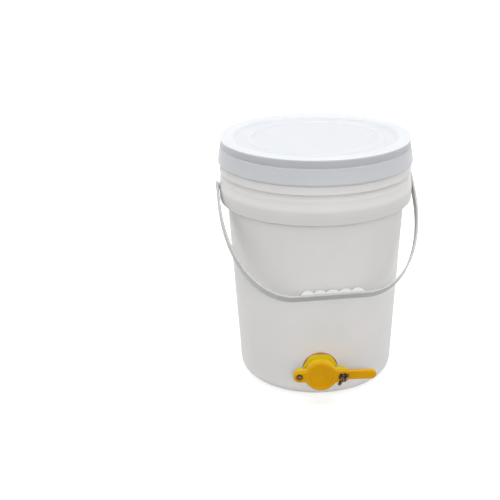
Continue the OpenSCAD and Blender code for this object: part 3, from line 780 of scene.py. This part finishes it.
def makeBail():
    line, slot = bandLine(), "bail_plastic"
    links = [(i, i + 1) for i in range(len(line) - 1)]
    band = showMesh("bailBand", [(x, y, 0) for x, y in line], links, [])
    growTree(band, treeBand(), slot, {
        "Thickness": bail["thick"] * mm, "Width": bail["wide"] * mm, "Edge": bail["edge"] * mm})
    radius, chord = bail["bumpRound"], bail["bumpHigh"] + bail["thick"] / 2
    opening = math.degrees(math.acos((radius - chord) / radius))
    outline = arcPoints((0, -bumpTop - radius), radius, 90 - opening, 90 + opening, 20)
    turns = (((bail["bumps"] + 1) // 2, 0), (bail["bumps"] // 2, bail["bumpStep"]))
    for count, inset in turns:  # every other bump, then those between
        half = bail["wide"] / 2 - bail["bumpInset"] - inset
        bump = platePiece("fingerBump", outline, roundSteps(-half, half, bail["bumpEdge"], 5), slot)
        growTree(bump, treeBumps(), slot, {"Bumps": count, "Pitch": 2 * bail["bumpPitch"] * mm})
        combine(band, [bump], "UNION")
    movePiece(band, earPlace() @ Matrix.Rotation(math.pi / 2 - restLean(), 4, "X"))
    headRadius, stud, boss, edge = bail["headWide"] / 2, bail["stud"] / 2, bail["wide"] / 2, bail["edge"]
    hollow = collarInner - hollowLean * max(0, earHigh + headRadius - pail["bandTop"])
    head = math.sqrt(hollow ** 2 - headRadius ** 2) - bail["headGap"]
    tip = head - bail["headThick"]
    bossInner, bossOuter = collarRadius + bail["armGap"], armInner + bail["thick"]
    path = roundPath([
        (0, tip, 0), (stud - bail["headTip"], tip, 0.4), (headRadius, head, 0.3), (stud, head, 0.2),
        (stud, bossInner, 0.3), (boss, bossInner, edge), (boss, bossOuter, edge),
        (0, bossOuter, 0)], steps=4)
    for side in (0, math.pi):
        pin = turnPiece("pivotStud", path, slot, 64)
        combine(band, [movePiece(pin, earPlace(side) @ quarterY)], "UNION")
    settle(band, "bail", slot, "bail")


# painted light on the finger bumps
paintGripLight(finishes["bail_plastic"])
makeBail()


# gate, measured outwards from the pad's face
gate = {
    "bore": 20.0, "spigot": 24.0, "sealWide": 36.8, "sealThick": 2.0, "sealEdge": 0.7,
    "flangeBack": 2.0, "flangeFront": 6.2, "flangeFlats": 34.6, "flangeRound": 9.5, "flangeEdge": 0.7,
    "barrel": 31.6, "rootOut": 1.2, "rootIn": 0.5, "rootLow": 0.1, "rootHigh": 0.9, "rootEnd": 1.4,
    "face": 14.5, "ear": 4.8, "earIn": 0.4, "earBlend": 2.5, "earEdge": 0.6, "earStep": 0.02, "lug": 6.0,
    "hook": 7.0, "span": 44.0, "plateBack": 14.6, "plateFront": 18.6, "plateWide": 32.0,
    "plateEdge": 1.1, "sinkWide": 24.0, "sink": 1.4, "blend": 3.5, "lip": 0.4,
    "slotTurn": -18.0,  # degrees round the pivot
    "handleReach": 56.0, "handleRoot": 12.0, "handleWide": 10.4, "handleRise": 1.5, "handleEdge": 1.3,
    "handleStep": 0.03, "spigotEnd": -16.218, "tipIn": 0.6, "tipHigh": 0.8, "pitch": 2.0, "thread": 0.7,
    "threadLow": 0.9, "threadHigh": 0.4, "rowLow": 1.0, "rowStep": 0.25, "rows": 56,
    "sleeveLow": 0.5, "sleeveHigh": 1.0,
    "nutLow": -14.218, "nutThick": 7.0, "nutFlats": 33.0, "nutEdge": 0.9, "padBack": -5.218,
}
hardware = {
    "screw": 4.0, "headWide": 6.0, "headHigh": 2.4, "headEdge": 0.2, "pocket": 1.6, "pocketFit": 0.6,
    "tip": 0.8, "tipEdge": 0.4, "screwRows": 44, "rowStart": 0.5, "rowStep": 0.1, "threadLow": 0.45,
    "threadHigh": 3.3, "slotReach": 8.0, "slotHigh": 4.0, "slotSeat": 0.6,
    "nutFlats": 7.0, "nutThick": 2.2, "nutEdge": 0.35, "washerEdge": 0.2,
    "bolt": 4.0, "boltFlats": 7.0, "boltHead": 2.8, "boltEdge": 0.4, "boltTip": 0.8, "boltRows": 1.1,
    "boltStart": 0.2, "boltThread": 0.7, "slotFit": 0.3, "washerWide": 9.0, "washer": 1.0,
    "wingSpan": 16.0, "hubHigh": 4.5, "hubWide": 7.6, "hubFoot": 0.9, "hubLean": 0.8, "wing": 1.6,
    "wingRound": 3.0, "wingRoot": 1.5, "wingFoot": 0.8, "wingEdge": 0.5, "wingTurn": 49.0,
    "boltEnd": 25.0, "headSeat": 17.1, "wingSeat": 19.7, "seatRow": 0.1, "headIn": 1.0,
    "fit": 0.05, "pitch": 0.7, "thread": 0.28, "lip": 0.3,
}
screwFit, boltFit = hardware["screw"] / 2 + hardware["fit"], hardware["bolt"] / 2 + hardware["fit"]
spigotFit = gate["spigot"] / 2 + hardware["fit"]
earBack = gate["face"] - gate["ear"]
pivotShift, clampShift = (Matrix.Translation((side * gate["span"] / 2 * mm, 0, 0)) for side in (-1, 1))
pivotPlace, clampPlace = gatePlace @ pivotShift, gatePlace @ clampShift


def hexCorners(flats, edge, turn=0):
    reach = flats / 2 / math.cos(math.pi / 6)
    angles = [math.radians(turn + 60 * i) for i in range(6)]
    return roundPath([(reach * math.cos(a), reach * math.sin(a), edge) for a in angles], True, 4)


def lugQuarter(wide, lugRadius, blendRadius):  # from the lug's tip to the top of the disc
    disc, lugAt = wide / 2, gate["span"] / 2
    level = lugRadius + blendRadius
    across = math.sqrt((disc + blendRadius) ** 2 - level ** 2)
    meet = math.degrees(math.atan2(level, across))
    lug = arcPoints((lugAt, 0), lugRadius, 0, 90, 10)
    blend = arcPoints((across, level), blendRadius, 270, 180 + meet, 6)
    return lug + blend + arcPoints((0, 0), disc, meet, 90, 12)


def lugOutline(wide, blendRadius):  # a disc with a lug at the pivot and a larger one at the hook
    right = lugQuarter(wide, gate["hook"], blendRadius)
    left = [Vector((-p.x, p.y)) for p in lugQuarter(wide, gate["lug"], blendRadius)]
    upper = right + list(reversed(left[:-1]))
    return upper + [Vector((p.x, -p.y)) for p in reversed(upper[1:-1])]


def makeGateBody():
    barrel, spigot, slot = gate["barrel"] / 2, gate["spigot"] / 2, "gate_plastic"
    end, back, front, face = gate["spigotEnd"], gate["flangeBack"], gate["flangeFront"], gate["face"]
    root, neck = barrel + gate["rootOut"], barrel - gate["rootIn"]
    path = [(0, end), (spigot - gate["tipIn"], end), (spigot, end + gate["tipHigh"])]
    path += [(spigot, end + gate["rowLow"] + gate["rowStep"] * i) for i in range(gate["rows"])]
    sleeve = front - gate["sleeveHigh"]
    path += roundPath([
        (spigot, back - gate["sleeveLow"], 0), (spigot, sleeve, 0), (root, sleeve, 0), (root, front, 0),
        (neck, front + gate["rootLow"], 0.3), (neck, front + gate["rootHigh"], 0.3),
        (barrel, front + gate["rootEnd"], 0.4), (barrel, face, 0.5), (0, face, 0)])
    threadLow, threadHigh = end + gate["threadLow"], gate["padBack"] - gate["threadHigh"]
    body = turnPiece("gateBody", path, slot, 112, (gate["pitch"], gate["thread"], threadLow, threadHigh))
    flange = platePiece("flange", hexCorners(gate["flangeFlats"], gate["flangeRound"]),
                        roundSteps(back, front, gate["flangeEdge"]), slot)
    ears = platePiece("ears", lugOutline(gate["barrel"] - gate["earIn"], gate["earBlend"]),
                      roundSteps(earBack, face - gate["earStep"], gate["earEdge"]), slot)
    combine(body, [flange, ears], "UNION")
    combine(body, [drill("bore", gate["bore"] / 2, end - past, face, gate["lip"])], "DIFFERENCE")
    for shift, radius in ((pivotShift, screwFit), (clampShift, boltFit)):
        hole = drill("boltHole", radius, earBack - past, face + past)
        combine(body, [movePiece(hole, shift)], "DIFFERENCE")
    settle(movePiece(body, gatePlace), "bucket", slot, "gate_body")


def handleOutline():
    half, reach, rise = gate["handleWide"] / 2, gate["handleReach"], gate["handleRise"]
    end = arcPoints((reach - half, rise), half, -90, 90, 14)
    root = gate["handleRoot"]
    return [Vector((root, rise - half))] + end + [Vector((root, rise + half))]


def slotCutter():
    half, span, low = hardware["bolt"] / 2 + hardware["slotFit"], gate["span"], gate["slotTurn"]
    pivot = (-span / 2, 0)
    outline = arcPoints((span / 2, 0), half, 0, 180, 12)
    outline += arcPoints(pivot, span - half, 0, low, 8)[1:]
    outline += arcPoints(pivot, span + half, low, 0, 8)[:-1]
    through = [(0, gate["plateBack"] - past), (0, gate["plateFront"] + past)]
    return platePiece("hookSlot", outline, through, "plate_plastic")


def makeGatePlate():
    back, front, lip, slot = gate["plateBack"], gate["plateFront"], gate["lip"], "plate_plastic"
    steps = roundSteps(back, front, gate["plateEdge"])
    plate = platePiece("gatePlate", lugOutline(gate["plateWide"], gate["blend"]), steps, slot)
    inset = roundSteps(back + gate["handleStep"], front - gate["handleStep"], gate["handleEdge"])
    combine(plate, [platePiece("handle", handleOutline(), inset, slot)], "UNION")
    sink = drill("sink", gate["sinkWide"] / 2, front - gate["sink"], front, lip)
    pocketRadius = hardware["headWide"] / 2 + hardware["pocketFit"]
    pocket = drill("pocket", pocketRadius, front - hardware["pocket"], front, lip)
    hole = drill("screwHole", screwFit, back - past, front + past)
    cutters = [sink, movePiece(pocket, pivotShift), movePiece(hole, pivotShift), slotCutter()]
    combine(plate, cutters, "DIFFERENCE")
    settle(movePiece(plate, gatePlace), "gate_plate", slot, "gate_plate")


def makeSeals():
    outer, slot = gate["sealWide"] / 2, "seal_rubber"
    for name, node, high in (("flangeSeal", "flange_seal", gate["flangeBack"]),
                             ("innerSeal", "inner_seal", gate["padBack"])):
        path = ringPath(outer, spigotFit, high - gate["sealThick"], high, gate["sealEdge"])
        settle(movePiece(turnPiece(name, path, slot), gatePlace), "bucket", slot, node)


def chamferSteps(low, high, edge):
    half, flat = edge * 0.5, edge * 1.6
    foot = [(flat, low), (half, low + half), (0, low + edge)]
    return foot + [(0, high - edge), (half, high - half), (flat, high)]


def makeNut(name, flats, hole, low, high, edge, turn, slot):
    nut = platePiece(name, hexCorners(flats, edge, turn), chamferSteps(low, high, edge), slot)
    return combine(nut, [drill(name + "Hole", hole, low - past, high, edge * 0.6)], "DIFFERENCE")


def makeLockNut():
    low, high = gate["nutLow"], gate["nutLow"] + gate["nutThick"]
    nut = makeNut("lockNut", gate["nutFlats"], spigotFit, low, high, gate["nutEdge"], 0, "gate_plastic")
    settle(movePiece(nut, gatePlace), "bucket", "gate_plastic", "lock_nut")


def makeWasher(name, hole, high, place, body, node):
    outer, low = hardware["washerWide"] / 2, high - hardware["washer"]
    path = ringPath(outer, hole, low, high, hardware["washerEdge"])
    settle(movePiece(turnPiece(name, path, "steel", 64), place), body, "steel", node)


def makePivot():
    screw, head, seat = hardware["screw"] / 2, hardware["headWide"] / 2, hardware["headSeat"]
    low = earBack - hardware["washer"] - hardware["nutThick"]
    tip, edge, lip = low - hardware["tip"], hardware["tipEdge"], hardware["headEdge"]
    domeLow, domeHigh = seat + hardware["headHigh"] / 3, seat + hardware["headHigh"]
    rise = domeHigh - domeLow
    dome = (head * head + rise * rise) / 2 / rise
    rowLow, step = tip + hardware["rowStart"], hardware["rowStep"]
    path = [(0, tip), (screw - edge, tip), (screw, tip + edge)]
    path += [(screw, rowLow + step * i) for i in range(hardware["screwRows"])]
    path += [(screw, seat - hardware["seatRow"]), (screw, seat), (head - lip, seat), (head, seat + lip)]
    path += arcPoints((0, domeHigh - dome), dome, math.degrees(math.acos(head / dome)), 90, 12)
    threadLow, threadHigh = tip + hardware["threadLow"], low + hardware["threadHigh"]
    thread = (hardware["pitch"], hardware["thread"], threadLow, threadHigh)
    piece = turnPiece("pivotScrew", path, "steel", 64, thread)
    half, reach = hardware["screw"] / 8, hardware["slotReach"]
    corners = ((-reach, -half), (reach, -half), (reach, half), (-reach, half))
    across = [Vector(corner) for corner in corners]
    depth = seat + hardware["headHigh"] * hardware["slotSeat"]
    cutter = platePiece("driverSlot", across, [(0, depth), (0, depth + hardware["slotHigh"])], "steel")
    combine(piece, [cutter], "DIFFERENCE")
    settle(movePiece(piece, pivotPlace), "bucket", "steel", "pivot_screw")
    makeWasher("pivotWasher", screwFit, earBack, pivotPlace, "bucket", "pivot_washer")
    high = low + hardware["nutThick"]
    nut = makeNut("pivotNut", hardware["nutFlats"], screwFit, low, high, hardware["nutEdge"], 30, "steel")
    settle(movePiece(nut, pivotPlace), "bucket", "steel", "pivot_nut")


def makeClamp():
    bolt, end, tip = hardware["bolt"] / 2, hardware["boltEnd"], hardware["boltTip"]
    low, edge, step = earBack - hardware["boltHead"], hardware["boltEdge"], hardware["rowStep"]
    rows = int((end - hardware["boltRows"] - earBack) / step)
    path = [(0, low + hardware["headIn"]), (bolt, low + hardware["headIn"])]
    path += [(bolt, earBack + hardware["boltStart"] + step * i) for i in range(rows)]
    path += [(bolt, end - tip), (bolt - tip, end), (0, end)]
    thread = (hardware["pitch"], hardware["thread"], gate["face"], end - hardware["boltThread"])
    shaft = turnPiece("clampBolt", path, "steel", 48, thread)
    corners = hexCorners(hardware["boltFlats"], edge, 30)
    combine(shaft, [platePiece("boltHead", corners, chamferSteps(low, earBack, edge), "steel")], "UNION")
    settle(movePiece(shaft, clampPlace), "bucket", "steel", "clamp_bolt")
    makeWasher("clampWasher", boltFit, hardware["wingSeat"], clampPlace, "clamp_washer", "clamp_washer")


def wingOutline():  # measured out from the bolt and along it
    radius, high, root, foot = (hardware[key] for key in ("wingRound", "hubHigh", "wingRoot", "wingFoot"))
    tip = arcPoints((hardware["wingSpan"] / 2 - radius, high), radius, -30, 120, 14)
    start = [Vector((root, foot)), Vector((hardware["hubWide"] / 2, foot))]
    return start + tip + [Vector((root, high - foot))]


def makeWingNut():
    hub, high, half = hardware["hubWide"] / 2, hardware["hubHigh"], hardware["wing"] / 2
    path = roundPath([(0, 0, 0), (hub, 0, 0.4), (hub, hardware["hubFoot"], 0.5),
                      (hub - hardware["hubLean"], high, 0.5), (0, high, 0)])
    nut = turnPiece("wingNut", path, "steel", 64)
    for side in (0, math.pi):
        wing = platePiece("wing", wingOutline(), roundSteps(-half, half, hardware["wingEdge"]), "steel")
        combine(nut, [movePiece(wing, Matrix.Rotation(side, 4, "Z") @ quarterX)], "UNION")
    bore = drill("wingBore", boltFit, -past, high, hardware["lip"])
    combine(nut, [bore], "DIFFERENCE")
    seat = Matrix.Translation((0, 0, hardware["wingSeat"] * mm))
    movePiece(nut, clampPlace @ seat @ Matrix.Rotation(math.radians(hardware["wingTurn"]), 4, "Z"))
    settle(nut, "wing_nut", "steel", "wing_nut")


makeGateBody()
makeGatePlate()
makeSeals()
makeLockNut()
makePivot()
makeClamp()
makeWingNut()
